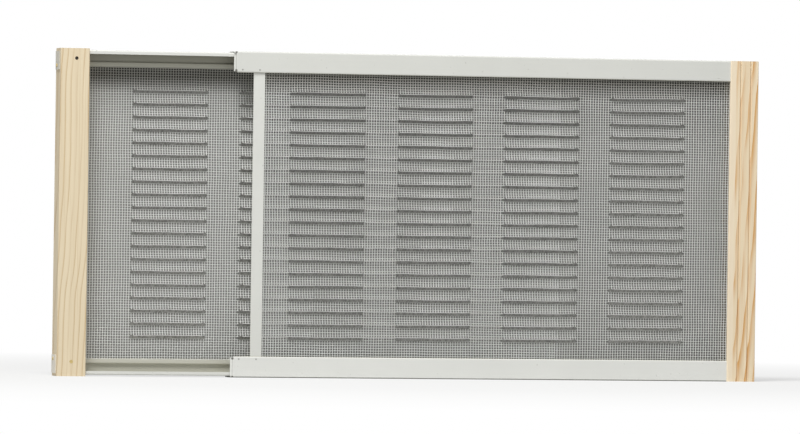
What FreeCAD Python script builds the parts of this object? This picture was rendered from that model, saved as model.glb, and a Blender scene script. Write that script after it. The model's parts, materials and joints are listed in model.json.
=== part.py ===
import FreeCAD, Part
import math
import os

import Sketcher

# Adjustable window screen: two louvred wire panels in interlocking folded rails, with a stile at each outer end.
# Frame: +X runs along the slide, the front faces -Y and +Z is up. The origin is under the middle of the screen.
# Each piece is drawn from its own corner: depths count back from the stiles' front, heights up from the sill.

# Driving dimensions in millimetres
DIMENSIONS = {
    "frame_height": 254.0,
    "stile_width": 23.0,
    "stile_depth": 19.0,
    "stile_ease": 0.8,
    "kerf_depth": 6.0,
    "kerf_slack": 0.15,
    "rail_length": 403.0,
    "rest_gap": 115.0,
    "sheet": 0.6,
    "bend_radius": 0.5,
    "run_clearance": 0.5,
    "face_setback": 0.9,
    "face_height": 16.5,
    "leaf_height": 9.0,
    "turn_length": 2.5,
    "turn_depth": 1.4,
    "lip_gap": 1.9,
    "lip_height": 3.0,
    "web_height": 13.0,
    "hem_height": 4.5,
    "hem_round": 1.0,
    "hem_cut": 0.8,
    "tab_height": 15.5,
    "tab_depth": 16.0,
    "wire_wall": 0.6,
    "wire_slack": 0.05,
    "wire_setback": 20.0,
    "edge_slack": 0.3,
    "strip_sheet": 0.4,
    "strip_width": 9.0,
    "strip_setback": 15.9,
    "louvre_pitch": 10.05,
    "louvre_height": 4.6,
    "louvre_rise": 1.8,
    "louvre_under": 2.0,
    "louvre_length": 61.3,
    "louvre_spacing": 86.5,
    "louvre_margin": 45.2,
    "louvre_end_clear": 20.0,
    "louvre_band_clear": 9.0,
    "louvre_cheek": 0.6,
    "slot_bar": 0.4,
    "gap_rows": 6,
    "gap_bar": 2.4,
    "nail_head": 2.8,
    "nail_head_height": 0.5,
    "nail_shank": 1.6,
    "nail_length": 18.2,
    "nail_point": 0.5,
    "nail_slack": 0.1,
    "upper_nail_inset": 12.7,
    "upper_nail_drop": 7.8,
    "upper_nail_sunk": 1.2,
    "lower_nail_inset": 11.5,
    "lower_nail_rise": 11.3,
    "side_nail_drop": 3.2,
    "side_nail_inset": 9.0,
    "stake_width": 1.3,
    "stake_depth": 0.3,
    "stake_rise": 2.2,
    "stake_inset": 6.6,
    "stake_from_stile": 10.0,
}

# Distance within which an edge counts as standing at a named corner
NEAR = 1e-4

# Sides of a nail's shank and its bore, and of a nail's head and its seat
SHANK_SIDES = 8
HEAD_SIDES = 12

doc = FreeCAD.newDocument("window_screen")
dims = doc.addObject("Spreadsheet::Sheet", "dims")
for row, (alias, number) in enumerate(DIMENSIONS.items(), 1):
    dims.set(f"A{row}", alias)
    dims.set(f"B{row}", str(number))
    dims.setAlias(f"B{row}", alias)
doc.recompute()


class Size:
    """A length in millimetres together with the formula that binds it to the sheet."""

    def __init__(self, value, formula):
        self.value = value
        self.formula = formula

    def __add__(self, other):
        return Size(self.value + other.value, f"({self.formula} + {other.formula})")

    def __sub__(self, other):
        return Size(self.value - other.value, f"({self.formula} - {other.formula})")

    def __mul__(self, factor):
        if isinstance(factor, Size):
            return Size(self.value * factor.value, f"{self.formula} * {factor.formula}")
        return Size(self.value * factor, f"{self.formula} * {factor}")

    def __truediv__(self, factor):
        if isinstance(factor, Size):
            return Size(self.value / factor.value, f"{self.formula} / {factor.formula}")
        return Size(self.value / factor, f"{self.formula} / {factor}")

    def __neg__(self):
        return Size(-self.value, f"(0 - {self.formula})")


def cell(alias):
    """The size that one cell of the sheet holds."""
    return Size(float(dims.get(alias)), f"dims.{alias}")


def count_in(room, step):
    """How many things fit in a room, one at its start and one after each whole step."""
    return Size(math.floor(room.value / step.value) + 1, f"(floor({room.formula} / {step.formula}) + 1)")


ZERO = Size(0.0, "0")
ONE = Size(1.0, "1")
frame_height = cell("frame_height")
stile_width = cell("stile_width")
stile_depth = cell("stile_depth")
rail_length = cell("rail_length")
rest_gap = cell("rest_gap")
sheet = cell("sheet")
bend_radius = cell("bend_radius")
wire_wall = cell("wire_wall")
hem_height = cell("hem_height")
nail_slack = cell("nail_slack")
nail_hole = cell("nail_shank") + nail_slack
nail_seat = cell("nail_head") + nail_slack

# Lengths along X
stile_run = sheet + stile_width
total_width = (stile_run + stile_run) + rest_gap + rail_length
front_start = stile_run + rest_gap
right_stile_start = front_start + rail_length

# Depths of the folded sheet, counted back from the stiles' front
wire_gap = wire_wall + cell("wire_slack") * 2
strip_gap = wire_gap + cell("strip_sheet") * 2
leaf_front = stile_depth
leaf_back = stile_depth + sheet
total_depth = leaf_back
face_front = cell("face_setback")
face_back = face_front + sheet
front_hem_back = face_back + sheet
front_fold_front = front_hem_back + strip_gap
front_fold_back = front_fold_front + sheet
lip_front = face_back + cell("lip_gap")
lip_back = lip_front + sheet
web_back = leaf_front - cell("run_clearance")
web_front = web_back - sheet
back_hem_front = web_front - sheet
back_fold_back = back_hem_front - wire_gap
back_fold_front = back_fold_back - sheet
tab_front = web_back - cell("tab_depth")
right_tab_front = leaf_back - cell("tab_depth")
outer_bend = bend_radius + sheet

# Depths of the wire's front face, in the middle of each hem
front_wire = front_hem_back + (strip_gap - wire_wall) / 2
back_wire = back_fold_back + (wire_gap - wire_wall) / 2

# Drops below the top of the frame, and the same heights above its foot
flange_drop = sheet + cell("run_clearance")
face_drop = cell("face_height")
front_fold_drop = face_drop - hem_height
web_drop = flange_drop + cell("web_height")
back_fold_drop = web_drop - hem_height
hem_cut = cell("hem_cut")
tongue_drop = flange_drop + outer_bend
tab_drop = flange_drop + cell("tab_height")

# Rows and columns of louvres that the wire has room for
louvre_depth = cell("louvre_height") + cell("louvre_under")
row_room = frame_height - (face_drop + cell("louvre_band_clear")) * 2 - louvre_depth
column_room = rail_length - cell("louvre_margin") - cell("louvre_length") - cell("louvre_end_clear")
louvre_rows = count_in(row_room, cell("louvre_pitch"))
louvre_columns = count_in(column_room, cell("louvre_spacing"))
louvre_block = cell("louvre_spacing") * (louvre_columns - ONE) + cell("louvre_length")


def top(drop):
    """Height of a point that hangs below the top of the frame."""
    return frame_height - drop


def foot(drop):
    """Height of a point that stands above the foot of the frame."""
    return drop


def new_body(label, x_start):
    """A named piece whose corner stands at x_start, with the frame's middle at the origin."""
    body = doc.addObject("PartDesign::Body", label)
    body.Label = label
    body.setExpression("Placement.Base.x", (x_start - total_width / 2).formula)
    body.setExpression("Placement.Base.y", (-(total_depth / 2)).formula)
    return body


def new_sketch(body, name, role, shift=None):
    """A sketch on one of the piece's own planes, moved along that plane's normal by shift."""
    sketch = body.newObject("Sketcher::SketchObject", name)
    plane = next(item for item in body.Origin.OriginFeatures if item.Role == role)
    sketch.AttachmentSupport = [(plane, "")]
    sketch.MapMode = "FlatFace"
    if shift is not None:
        sketch.setExpression("AttachmentOffset.Base.z", shift.formula)
    return sketch


def hold(sketch, kind, item, point, size):
    """Keep a point of a sketch item at its distance from the sketch's own axis."""
    if size is ZERO:
        axis = -2 if kind == "DistanceX" else -1
        sketch.addConstraint(Sketcher.Constraint("PointOnObject", item, point, axis))
        return
    place = sketch.addConstraint(Sketcher.Constraint(kind, -1, 1, item, point, size.value))
    sketch.setExpression(f"Constraints[{place}]", size.formula)


def draw_outline(sketch, corners):
    """A closed outline of straight runs, with every corner held by its two sizes."""
    first = sketch.GeometryCount
    count = len(corners)
    spots = [FreeCAD.Vector(x.value, y.value, 0) for x, y in corners]
    for index in range(count):
        sketch.addGeometry(Part.LineSegment(spots[index], spots[(index + 1) % count]), False)
    for index in range(count):
        following = first + (index + 1) % count
        sketch.addConstraint(Sketcher.Constraint("Coincident", first + index, 2, following, 1))
    for index, (x, y) in enumerate(corners):
        hold(sketch, "DistanceX", first + index, 1, x)
        hold(sketch, "DistanceY", first + index, 1, y)


def draw_box(sketch, x_low, x_high, y_low, y_high):
    """A closed rectangle."""
    draw_outline(sketch, [(x_low, y_low), (x_high, y_low), (x_high, y_high), (x_low, y_high)])


def draw_ring(sketch, x, y, width, sides):
    """A many-sided outline, as wide across its corners as given, with a corner on each axis."""
    reach = width / 2
    corners = []
    for index in range(sides):
        angle = 2 * math.pi * index / sides
        corners.append((x + reach * round(math.cos(angle), 9), y + reach * round(math.sin(angle), 9)))
    draw_outline(sketch, corners)


def pad(body, sketch, length):
    """Add material along the sketch's normal."""
    feature = body.newObject("PartDesign::Pad", f"{sketch.Name}_pad")
    feature.Profile = sketch
    feature.setExpression("Length", length.formula)
    return feature


def pocket(body, sketch, length=None, along_normal=True):
    """Cut material away, right through where no length is given, and make sure that something was cut."""
    doc.recompute()
    before = body.Shape.Volume
    feature = body.newObject("PartDesign::Pocket", f"{sketch.Name}_pocket")
    feature.Profile = sketch
    feature.Reversed = along_normal
    if length is None:
        feature.Type = "ThroughAll"
    else:
        feature.setExpression("Length", length.formula)
    doc.recompute()
    if body.Shape.Volume >= before:
        raise RuntimeError(f"{feature.Name} cuts nothing")
    return feature


def round_edges(body, axis, spots, radius):
    """Round the edges that run along one axis (0, 1 or 2) at the given pairs of the other two coordinates."""
    doc.recompute()
    base = body.Tip
    others = [index for index in range(3) if index != axis]
    names = []
    for number, edge in enumerate(base.Shape.Edges, 1):
        ends = [vertex.Point for vertex in edge.Vertexes]
        for spot in spots:
            near = [abs(end[index] - size.value) < NEAR for end in ends for index, size in zip(others, spot)]
            if len(ends) == 2 and all(near):
                names.append(f"Edge{number}")
    if len(names) < len(spots):
        raise RuntimeError(f"{body.Label}: {len(names)} edges found for {len(spots)} bends")
    fillet = body.newObject("PartDesign::Fillet", f"{body.Name}_round")
    fillet.Base = (base, names)
    fillet.setExpression("Radius", radius.formula)
    return fillet


def front_profile(height):
    """Section of a front rail: face, flange and back leaf, with the face folded twice round the wire."""
    corners = [
        (face_front, ZERO), (leaf_back, ZERO), (leaf_back, cell("leaf_height")), (leaf_front, cell("leaf_height")),
        (leaf_front, sheet), (face_back, sheet), (face_back, front_fold_drop), (front_fold_back, front_fold_drop),
        (front_fold_back, face_drop - hem_cut), (front_fold_front, face_drop - hem_cut),
        (front_fold_front, front_fold_drop + sheet), (front_hem_back, front_fold_drop + sheet),
        (front_hem_back, face_drop), (face_front, face_drop),
    ]
    return [(depth, height(drop) if drop is not ZERO else edge_of(height)) for depth, drop in corners]


def back_profile(height):
    """Section of a back rail: lip, flange and web, with the web folded twice round the wire."""
    corners = [
        (lip_front, flange_drop), (web_back, flange_drop), (web_back, web_drop), (back_hem_front, web_drop),
        (back_hem_front, back_fold_drop + sheet), (back_fold_back, back_fold_drop + sheet),
        (back_fold_back, web_drop - hem_cut), (back_fold_front, web_drop - hem_cut),
        (back_fold_front, back_fold_drop), (web_front, back_fold_drop), (web_front, flange_drop + sheet),
        (lip_back, flange_drop + sheet), (lip_back, flange_drop + cell("lip_height")),
        (lip_front, flange_drop + cell("lip_height")),
    ]
    return [(depth, height(drop)) for depth, drop in corners]


def edge_of(height):
    """The outer end of the frame that heights are counted from."""
    return frame_height if height is top else ZERO


def height_span(height, near, far):
    """Lowest height and extent of what lies between two drops, the near one first."""
    low = frame_height - far if height is top else near
    return low, far - near


def add_tongue(body, height, name, corners, near, far):
    """Add the sheet that runs on behind a stile and folds forward round its outer side."""
    low, extent = height_span(height, near, far)
    sketch = new_sketch(body, f"{name}_tongue", "XY_Plane", low)
    draw_outline(sketch, corners)
    pad(body, sketch, extent)


def build_front_rail(label, height):
    """A front rail, from its turned-in free end to the tab round the right stile."""
    body = new_body(label, front_start)
    section = new_sketch(body, f"{label}_section", "YZ_Plane")
    draw_outline(section, front_profile(height))
    pad(body, section, rail_length)
    flange_in = height(sheet)
    flange_out = edge_of(height)
    round_edges(body, 0, [(face_front, flange_out), (leaf_back, flange_out)], outer_bend)
    round_edges(body, 0, [(face_back, flange_in), (leaf_front, flange_in)], bend_radius)
    round_edges(body, 0, [(face_front, height(face_drop))], cell("hem_round"))
    round_edges(body, 0, [(front_fold_back, height(front_fold_drop))], sheet)
    turn_in_free_end(body, label, height)

    outer = rail_length + stile_width
    corners = [
        (rail_length, leaf_front), (outer, leaf_front), (outer, right_tab_front), (outer + sheet, right_tab_front),
        (outer + sheet, leaf_back), (rail_length, leaf_back),
    ]
    add_tongue(body, height, label, corners, outer_bend, cell("leaf_height"))
    round_edges(body, 2, [(outer + sheet, leaf_back)], outer_bend)
    round_edges(body, 2, [(outer, leaf_front)], bend_radius)
    hole = new_sketch(body, f"{label}_tab_hole", "YZ_Plane", outer)
    draw_ring(hole, right_nail_back, height(right_nail_drop), nail_hole, SHANK_SIDES)
    pocket(body, hole, sheet)

    stakes = new_sketch(body, f"{label}_stakes", "XZ_Plane", -face_front)
    strip_middle = cell("strip_setback") + cell("strip_width") / 2
    for spot in (cell("stake_inset"), strip_middle, rail_length - cell("stake_from_stile")):
        draw_ring(stakes, spot, height(face_drop - cell("stake_rise")), cell("stake_width"), SHANK_SIDES)
    pocket(body, stakes, cell("stake_depth"), along_normal=False)
    return body


def turn_in_free_end(body, label, height):
    """Cut the face back at the rail's free end and slope the last of it inwards."""
    low, extent = height_span(height, outer_bend, face_drop + hem_cut)
    turn_length = cell("turn_length")
    turn_depth = cell("turn_depth")
    cut = new_sketch(body, f"{label}_end_cut", "XY_Plane", low if height is top else outer_bend)
    draw_box(cut, ZERO, turn_length, ZERO, front_fold_back + hem_cut)
    pocket(body, cut, extent)
    low, extent = height_span(height, outer_bend, face_drop - cell("hem_round"))
    turn = new_sketch(body, f"{label}_turned_end", "XY_Plane", low)
    corners = [(turn_length, face_front), (turn_length, face_back), (ZERO, face_back + turn_depth),
               (ZERO, face_front + turn_depth)]
    draw_outline(turn, corners)
    pad(body, turn, extent)


def build_back_rail(label, height):
    """A back rail, from the tab round the left stile to its free end."""
    body = new_body(label, ZERO)
    section = new_sketch(body, f"{label}_section", "YZ_Plane", stile_run)
    draw_outline(section, back_profile(height))
    pad(body, section, rail_length)
    flange_out = height(flange_drop)
    flange_in = height(flange_drop + sheet)
    round_edges(body, 0, [(lip_front, flange_out), (web_back, flange_out)], outer_bend)
    round_edges(body, 0, [(lip_back, flange_in), (web_front, flange_in)], bend_radius)
    round_edges(body, 0, [(web_back, height(web_drop))], cell("hem_round"))
    round_edges(body, 0, [(back_fold_front, height(back_fold_drop))], cell("hem_round"))

    corners = [
        (ZERO, tab_front), (sheet, tab_front), (sheet, web_front), (stile_run, web_front), (stile_run, web_back),
        (ZERO, web_back),
    ]
    add_tongue(body, height, label, corners, tongue_drop, tab_drop)
    round_edges(body, 2, [(ZERO, web_back)], outer_bend)
    round_edges(body, 2, [(sheet, web_front)], bend_radius)
    side = new_sketch(body, f"{label}_tab_hole", "YZ_Plane")
    draw_ring(side, left_nail_back, height(left_nail_drop), nail_hole, SHANK_SIDES)
    pocket(body, side, sheet)
    face = new_sketch(body, f"{label}_nail_hole", "XZ_Plane", -web_front)
    draw_ring(face, *(upper_nail if height is top else lower_nail), nail_hole, SHANK_SIDES)
    pocket(body, face, sheet, along_normal=False)
    return body


# Nails: where the two face nails enter the left stile, and how far the side nails sit from the frame's ends
upper_nail = (sheet + cell("upper_nail_inset"), top(cell("upper_nail_drop")))
lower_nail = (sheet + cell("lower_nail_inset"), foot(cell("lower_nail_rise")))
left_nail_drop = tab_drop - cell("side_nail_drop")
right_nail_drop = cell("leaf_height") - cell("side_nail_drop")
left_nail_back = tab_front + cell("side_nail_inset")
right_nail_back = right_tab_front + cell("side_nail_inset")


def build_stile(label, x_start, kerf_low, kerf_high, wire_front):
    """A plain stile with eased edges and a saw kerf for the wire along its inner edge."""
    body = new_body(label, x_start)
    section = new_sketch(body, f"{label}_section", "XY_Plane")
    draw_box(section, ZERO, stile_width, ZERO, stile_depth)
    pad(body, section, frame_height)
    arrises = [(x, y) for x in (ZERO, stile_width) for y in (ZERO, stile_depth)]
    round_edges(body, 2, arrises, cell("stile_ease"))
    kerf = new_sketch(body, f"{label}_kerf", "XY_Plane")
    slack = cell("kerf_slack")
    draw_box(kerf, kerf_low, kerf_high, wire_front - slack, wire_front + wire_wall + slack)
    pocket(body, kerf)
    return body


def build_left_stile():
    """The left stile, notched at the back for the rail tongues and bored for its nails."""
    body = build_stile("left_stile", sheet, stile_width - cell("kerf_depth"), stile_width, back_wire)
    notch = new_sketch(body, "left_stile_notches", "YZ_Plane")
    draw_box(notch, web_front, stile_depth, top(tab_drop), frame_height)
    draw_box(notch, web_front, stile_depth, ZERO, tab_drop)
    pocket(body, notch)
    bores = new_sketch(body, "left_stile_bores", "XZ_Plane")
    seats = new_sketch(body, "left_stile_seats", "XZ_Plane")
    for x, z in (upper_nail, lower_nail):
        draw_ring(bores, x - sheet, z, nail_hole, SHANK_SIDES)
    pocket(body, bores, along_normal=False)
    draw_ring(seats, lower_nail[0] - sheet, lower_nail[1], nail_seat, HEAD_SIDES)
    pocket(body, seats, cell("nail_head_height"), along_normal=False)
    sunk = new_sketch(body, "left_stile_sunk_seat", "XZ_Plane")
    draw_ring(sunk, upper_nail[0] - sheet, upper_nail[1], nail_seat, HEAD_SIDES)
    pocket(body, sunk, cell("upper_nail_sunk") + cell("nail_head_height"), along_normal=False)
    sides = new_sketch(body, "left_stile_side_bores", "YZ_Plane")
    for height in (top, foot):
        draw_ring(sides, left_nail_back, height(left_nail_drop), nail_hole, SHANK_SIDES)
    pocket(body, sides, cell("nail_length"))
    return body


def build_right_stile():
    """The right stile, bored from its outer side for the tab nails."""
    body = build_stile("right_stile", right_stile_start, ZERO, cell("kerf_depth"), front_wire)
    start = stile_width - cell("nail_length")
    sides = new_sketch(body, "right_stile_side_bores", "YZ_Plane", start)
    for height in (top, foot):
        draw_ring(sides, right_nail_back, height(right_nail_drop), nail_hole, SHANK_SIDES)
    pocket(body, sides, cell("nail_length"))
    return body


def repeat(body, name, axis, count, length):
    """An even row of copies along one of the piece's own axes."""
    row = body.newObject("PartDesign::LinearPattern", name)
    row.Direction = (next(item for item in body.Origin.OriginFeatures if item.Role == axis), [""])
    row.setExpression("Length", length.formula)
    row.setExpression("Occurrences", count.formula)
    return row


def build_screen(label, wire_ends, clear_ends, first_louvre, wire_front, wire_drop, clear_drop):
    """A wire panel as one thin wall with a plain grid of openings, pressed out into rows of hollow louvre ridges."""
    body = new_body(label, ZERO)
    edge = new_sketch(body, f"{label}_wall", "YZ_Plane", wire_ends[0])
    wire_back = wire_front + wire_wall
    draw_box(edge, wire_front, wire_back, wire_drop, frame_height - wire_drop)
    pad(body, edge, wire_ends[1] - wire_ends[0])

    pitch = cell("louvre_pitch")
    length = cell("louvre_length")
    spacing = cell("louvre_spacing")
    rows_run = pitch * (louvre_rows - ONE)
    columns_run = spacing * (louvre_columns - ONE)
    lip = (frame_height - rows_run) / 2
    slope_foot = lip - cell("louvre_under")
    slope_top = lip + cell("louvre_height")

    gap_rows = cell("gap_rows")
    gap_bar = cell("gap_bar")
    gap_pitch = (frame_height - clear_drop * 2 - gap_bar) / gap_rows
    gap_foot = clear_drop + gap_bar
    gap_top = clear_drop + gap_pitch
    gaps = new_sketch(body, f"{label}_gaps", "XZ_Plane")
    gap_start = clear_ends[0]
    for column in range(louvre_columns.value):
        louvre_start = first_louvre + spacing * column
        draw_box(gaps, gap_start + gap_bar, louvre_start - gap_bar, gap_foot, gap_top)
        gap_start = louvre_start + length
    draw_box(gaps, gap_start + gap_bar, clear_ends[1] - gap_bar, gap_foot, gap_top)
    gap = pocket(body, gaps, along_normal=False)
    ladder = repeat(body, f"{label}_gap_rows", "Z_Axis", gap_rows, gap_pitch * (gap_rows - ONE))
    ladder.Originals = [gap]
    body.Tip = ladder

    crest = wire_front - cell("louvre_rise")
    middle = wire_front + wire_wall / 2
    fold = new_sketch(body, f"{label}_fold", "YZ_Plane", first_louvre)
    draw_outline(fold, [(middle, slope_foot), (wire_front, slope_foot), (crest, lip), (wire_front, slope_top),
                        (middle, slope_top)])
    ridge = pad(body, fold, length)
    cheek = cell("louvre_cheek")
    behind = wire_back + wire_wall
    slot_bar = cell("slot_bar")
    inside = new_sketch(body, f"{label}_hollow", "YZ_Plane", first_louvre + cheek)
    draw_outline(inside, [(behind, slope_foot), (wire_back, slope_foot), (crest + wire_wall, lip),
                          (wire_back, slope_top), (behind, slope_top)])
    draw_box(inside, crest, behind, slope_top + slot_bar, slope_foot + pitch - slot_bar)
    hollow = pocket(body, inside, length - cheek * 2)

    array = body.newObject("PartDesign::MultiTransform", f"{label}_louvres")
    array.Originals = [ridge, hollow]
    array.Transformations = [
        repeat(body, f"{label}_rows", "Z_Axis", louvre_rows, rows_run),
        repeat(body, f"{label}_columns", "X_Axis", louvre_columns, columns_run),
    ]
    body.Tip = array
    doc.recompute()
    return body


def build_strip(label, x_start, wire_front, drop):
    """A strip folded over a wire panel's free edge, with its fold at the low end in X."""
    body = new_body(label, x_start)
    skin = cell("strip_sheet")
    slack = cell("wire_slack")
    front = wire_front - slack - skin
    back = wire_front + wire_wall + slack + skin
    width = cell("strip_width")
    section = new_sketch(body, f"{label}_section", "XY_Plane", drop)
    draw_outline(section, [(ZERO, front), (width, front), (width, front + skin), (skin, front + skin),
                           (skin, back - skin), (width, back - skin), (width, back), (ZERO, back)])
    pad(body, section, frame_height - drop * 2)
    round_edges(body, 2, [(ZERO, front), (ZERO, back)], skin)
    return body


def build_nail(name, x, y, z, turn):
    """A flat-headed nail that points the way its turn sends +Z, with its head's top at the given place."""
    body = doc.addObject("PartDesign::Body", name)
    head = body.newObject("PartDesign::AdditivePrism", f"{name}_head")
    head.Polygon = HEAD_SIDES
    head.setExpression("Circumradius", (cell("nail_head") / 2).formula)
    head.setExpression("Height", cell("nail_head_height").formula)
    shank = body.newObject("PartDesign::AdditivePrism", f"{name}_shank")
    shank.Polygon = SHANK_SIDES
    shank.setExpression("Circumradius", (cell("nail_shank") / 2).formula)
    shank.setExpression("Height", cell("nail_length").formula)
    doc.recompute()
    tip = [f"Edge{number}" for number, edge in enumerate(shank.Shape.Edges, 1)
           if all(vertex.Z > DIMENSIONS["nail_length"] - NEAR for vertex in edge.Vertexes)]
    point = body.newObject("PartDesign::Chamfer", f"{name}_point")
    point.Base = (shank, tip)
    point.setExpression("Size", cell("nail_point").formula)
    body.Placement = FreeCAD.Placement(FreeCAD.Vector(), turn)
    for axis, size in (("x", x - total_width / 2), ("y", y - total_depth / 2), ("z", z)):
        body.setExpression(f"Placement.Base.{axis}", size.formula)
    return body


def build_nails(label, nails):
    """A set of like nails as one piece of separate solids."""
    group = doc.addObject("Part::Compound", label)
    group.Label = label
    group.Links = [build_nail(f"{label}_{index}", *nail) for index, nail in enumerate(nails, 1)]
    return group


# Ways that a nail points: back, right and left
BACK = FreeCAD.Rotation(FreeCAD.Vector(1, 0, 0), -90)
RIGHT = FreeCAD.Rotation(FreeCAD.Vector(0, 1, 0), 90)
LEFT = FreeCAD.Rotation(FreeCAD.Vector(0, 1, 0), -90)

# Where the wire of each panel starts and ends along X, inside its kerf and short of its rails' free end
kerf_reach = cell("kerf_depth") - cell("edge_slack")
strip_reach = cell("strip_setback") + cell("strip_sheet") + cell("edge_slack")
strip_start = front_start + cell("strip_setback")
back_free_end = stile_run + rail_length
back_wire_end = back_free_end - cell("wire_setback")
head_height = cell("nail_head_height")

pieces = [
    build_left_stile(),
    build_right_stile(),
    build_back_rail("back_top_rail", top),
    build_back_rail("back_bottom_rail", foot),
    build_front_rail("front_top_rail", top),
    build_front_rail("front_bottom_rail", foot),
    build_screen("back_screen", (stile_run - kerf_reach, back_wire_end), (stile_run, back_wire_end),
                 back_free_end - cell("louvre_margin") - louvre_block, back_wire, back_fold_drop + sheet, web_drop),
    build_screen("front_screen", (front_start + strip_reach, right_stile_start + kerf_reach),
                 (strip_start + cell("strip_width"), right_stile_start),
                 front_start + cell("louvre_margin"), front_wire, front_fold_drop + sheet, face_drop),
    build_strip("front_end_strip", strip_start, front_wire, front_fold_drop + sheet),
    build_nails("left_stile_face_nails", [
        (upper_nail[0], cell("upper_nail_sunk"), upper_nail[1], BACK),
        (lower_nail[0], ZERO, lower_nail[1], BACK),
    ]),
    build_nails("left_stile_side_nails", [
        (-head_height, left_nail_back, height(left_nail_drop), RIGHT) for height in (top, foot)
    ]),
    build_nails("right_stile_side_nails", [
        (total_width + head_height, right_nail_back, height(right_nail_drop), LEFT) for height in (top, foot)
    ]),
]
doc.recompute()

failed = [item.Name for item in doc.Objects if "Invalid" in item.State or "Error" in item.State]
if failed:
    raise RuntimeError(f"failed to build: {failed}")
for piece in pieces:
    if piece.Shape.isNull() or not piece.Shape.isValid():
        raise RuntimeError(f"{piece.Label} has no valid shape")

os.makedirs("parts", exist_ok=True)
for piece in pieces:
    piece.Shape.exportStep(f"parts/{piece.Label}.step")
    print(f"{piece.Label}: {len(piece.Shape.Solids)} solids, {piece.Shape.Volume:.1f} cubic mm")
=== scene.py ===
"""Dresses the adjustable window screen: rails, stiles, nails and woven wire, in a pale studio."""

import json
import logging
import math
from dataclasses import dataclass, field, replace
from enum import Enum
from typing import Any, Union

import bpy
from bpy.types import Material, Node, NodeSocket, NodeTree, Object
from mathutils import Matrix, Vector

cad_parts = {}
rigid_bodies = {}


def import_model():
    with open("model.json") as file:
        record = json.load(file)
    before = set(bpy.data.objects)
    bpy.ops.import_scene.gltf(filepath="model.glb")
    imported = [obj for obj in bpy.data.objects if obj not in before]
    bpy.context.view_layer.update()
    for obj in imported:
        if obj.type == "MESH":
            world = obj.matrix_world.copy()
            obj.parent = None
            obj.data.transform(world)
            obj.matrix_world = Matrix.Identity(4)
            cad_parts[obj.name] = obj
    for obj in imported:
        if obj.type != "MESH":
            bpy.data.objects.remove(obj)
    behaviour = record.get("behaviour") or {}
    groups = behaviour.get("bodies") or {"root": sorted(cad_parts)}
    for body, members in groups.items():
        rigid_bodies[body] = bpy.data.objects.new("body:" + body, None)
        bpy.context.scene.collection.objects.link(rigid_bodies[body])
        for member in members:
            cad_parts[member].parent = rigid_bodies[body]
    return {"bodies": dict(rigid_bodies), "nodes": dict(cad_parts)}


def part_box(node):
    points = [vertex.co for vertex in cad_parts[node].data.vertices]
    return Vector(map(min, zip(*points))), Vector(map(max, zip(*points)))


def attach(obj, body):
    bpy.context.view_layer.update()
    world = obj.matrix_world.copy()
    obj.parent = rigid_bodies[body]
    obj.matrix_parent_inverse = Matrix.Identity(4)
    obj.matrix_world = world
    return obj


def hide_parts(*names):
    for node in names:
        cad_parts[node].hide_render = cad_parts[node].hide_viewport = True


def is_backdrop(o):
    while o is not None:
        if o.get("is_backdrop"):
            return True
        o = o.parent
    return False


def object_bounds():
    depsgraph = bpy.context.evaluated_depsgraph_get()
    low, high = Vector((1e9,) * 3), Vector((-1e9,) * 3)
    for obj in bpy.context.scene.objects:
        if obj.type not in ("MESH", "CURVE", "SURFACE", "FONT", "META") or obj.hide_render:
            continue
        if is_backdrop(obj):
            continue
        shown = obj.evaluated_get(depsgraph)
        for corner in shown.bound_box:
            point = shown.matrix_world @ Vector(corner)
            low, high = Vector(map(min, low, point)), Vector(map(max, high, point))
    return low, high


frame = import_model()

LOG = logging.getLogger("window_screen")
MM = 0.001
Colour = tuple[float, float, float, float]
Triple = tuple[float, float, float]
Tones = tuple[tuple[Colour, Colour], ...]
Number = Union["Value", float]


# Node graphs
@dataclass
class Value:
    """An output socket of a node graph, on which Python's operators add Math nodes."""

    graph: "Graph"
    socket: NodeSocket

    def _math(self, operation: str, first: Number, second: Number) -> "Value":
        """Add one Math node.

        Args:
            operation: Blender's name of the operation.
            first: Left operand.
            second: Right operand.

        Returns:
            The node's result.
        """
        return self.graph.add("ShaderNodeMath", {0: first, 1: second}, operation=operation)[0]

    def __add__(self, other: Number) -> "Value":
        """Self plus other."""
        return self._math("ADD", self, other)

    __radd__ = __add__

    def __sub__(self, other: Number) -> "Value":
        """Self minus other."""
        return self._math("SUBTRACT", self, other)

    def __rsub__(self, other: float) -> "Value":
        """Other minus self."""
        return self._math("SUBTRACT", other, self)

    def __mul__(self, other: Number) -> "Value":
        """Self times other."""
        return self._math("MULTIPLY", self, other)

    def __truediv__(self, other: Number) -> "Value":
        """Self over other."""
        return self._math("DIVIDE", self, other)

    def __pow__(self, other: Number) -> "Value":
        """Self to the power of other."""
        return self._math("POWER", self, other)

    def __mod__(self, other: Number) -> "Value":
        """Remainder of self over other, never negative."""
        return self._math("FLOORED_MODULO", self, other)

    def __gt__(self, other: Number) -> "Value":
        """One where self is above other."""
        return self._math("GREATER_THAN", self, other)

    def __lt__(self, other: Number) -> "Value":
        """One where self is below other."""
        return self._math("LESS_THAN", self, other)

    def floor(self) -> "Value":
        """Whole number below self."""
        return self._math("FLOOR", self, 0.0)

    def root(self) -> "Value":
        """Square root of self."""
        return self._math("SQRT", self, 0.0)

    def least(self, other: Number) -> "Value":
        """The smaller of self and other."""
        return self._math("MINIMUM", self, other)

    def most(self, other: Number) -> "Value":
        """The larger of self and other."""
        return self._math("MAXIMUM", self, other)

    def limited(self) -> "Value":
        """Self held between zero and one."""
        return self.least(1.0).most(0.0)

    def centred(self) -> "Value":
        """Noise from zero to one, moved to lie around zero."""
        return self - 0.5

    def rising(self, start: float, slope: float) -> "Value":
        """Zero up to a start, then rising with that slope to one."""
        return ((self - start) * slope).limited()

    def between(self, start: float, end: float) -> "Value":
        """Zero at a start, one at an end, and held there beyond both."""
        return ((self - start) / (end - start)).limited()


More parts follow.
